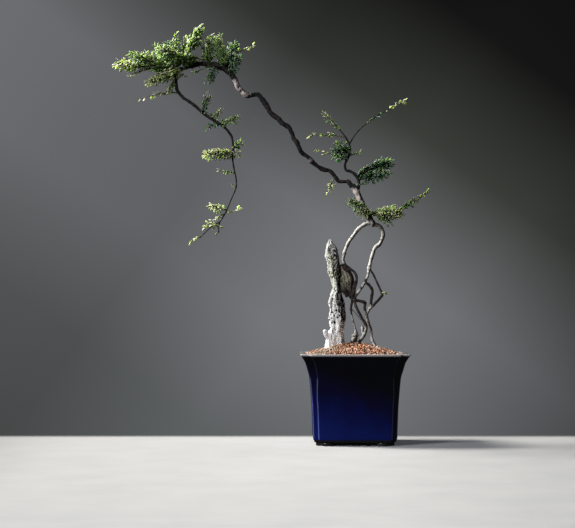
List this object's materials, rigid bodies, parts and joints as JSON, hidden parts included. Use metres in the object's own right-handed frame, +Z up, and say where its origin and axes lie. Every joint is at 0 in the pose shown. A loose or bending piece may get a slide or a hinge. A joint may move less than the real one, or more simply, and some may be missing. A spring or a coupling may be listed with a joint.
{
  "type": "berchemia lineata bonsai in a pot",
  "caption": "Slanting bonsai with a hanging crown, exposed roots and a deadwood column, planted in granules in a square glazed pot with low feet.",
  "frame": {"origin": "on the surface the pot stands on, under the middle of the whole plant's bounding box, so it lies to the left of the pot", "axes": "+Z up, +X to the right as seen from the front, -Y towards the front; the crown leans towards -X"},
  "size_m": [0.452, 0.1506, 0.585],
  "materials": {
    "glaze": "gloss",
    "screen_plastic": "matte",
    "wire": "satin",
    "granules": "matte",
    "deadwood": "matte",
    "bark": "matte",
    "leaf_bright": "satin",
    "leaf_green": "satin",
    "leaf_dark": "satin"
  },
  "bodies": {
    "root": {"pot": "glaze", "drainage_screen": "screen_plastic", "screen_wire_clip": "wire", "soil": "granules", "deadwood_column": "deadwood", "trunk": "bark", "crown_branch": "bark", "cascade_branch": "bark", "middle_branch": "bark", "right_middle_twig": "bark", "long_shoot": "bark", "right_branch": "bark", "left_stem": "bark", "right_stem": "bark", "left_root": "bark", "right_root": "bark", "rear_root": "bark", "root_crown": "bark", "leaves_crown_tip": "leaf_bright", "leaves_crown_left_front": "leaf_green", "leaves_crown_left_back": "leaf_green", "leaves_crown_front": "leaf_green", "leaves_crown_back": "leaf_dark", "leaves_crown_top": "leaf_green", "leaves_crown_middle": "leaf_dark", "leaves_crown_peak": "leaf_green", "leaves_crown_right_front": "leaf_green", "leaves_crown_right_back": "leaf_dark", "leaves_crown_right_low": "leaf_dark", "leaves_crown_shoot": "leaf_bright", "leaves_crown_under": "leaf_dark", "leaves_crown_low": "leaf_bright", "leaves_crown_hanging": "leaf_bright", "leaves_crown_left_shoot": "leaf_bright", "leaves_cascade_start": "leaf_dark", "leaves_cascade_elbow": "leaf_green", "leaves_cascade_inner": "leaf_dark", "leaves_cascade_pad": "leaf_bright", "leaves_cascade_outer": "leaf_green", "leaves_cascade_thin": "leaf_green", "leaves_cascade_low": "leaf_bright", "leaves_cascade_low_outer": "leaf_bright", "leaves_cascade_end": "leaf_bright", "leaves_cascade_tip": "leaf_bright", "leaves_middle": "leaf_dark", "leaves_middle_top": "leaf_green", "leaves_middle_left": "leaf_green", "leaves_right_middle_low": "leaf_dark", "leaves_right_middle_high": "leaf_dark", "leaves_shoot_tip": "leaf_bright", "leaves_hanging": "leaf_bright", "leaves_right_inner": "leaf_green", "leaves_right_joint": "leaf_bright", "leaves_right_low": "leaf_green", "leaves_right_front": "leaf_bright", "leaves_right_back": "leaf_green", "leaves_right_outer": "leaf_green", "leaves_right_tip": "leaf_bright"}
  },
  "joints": []
}
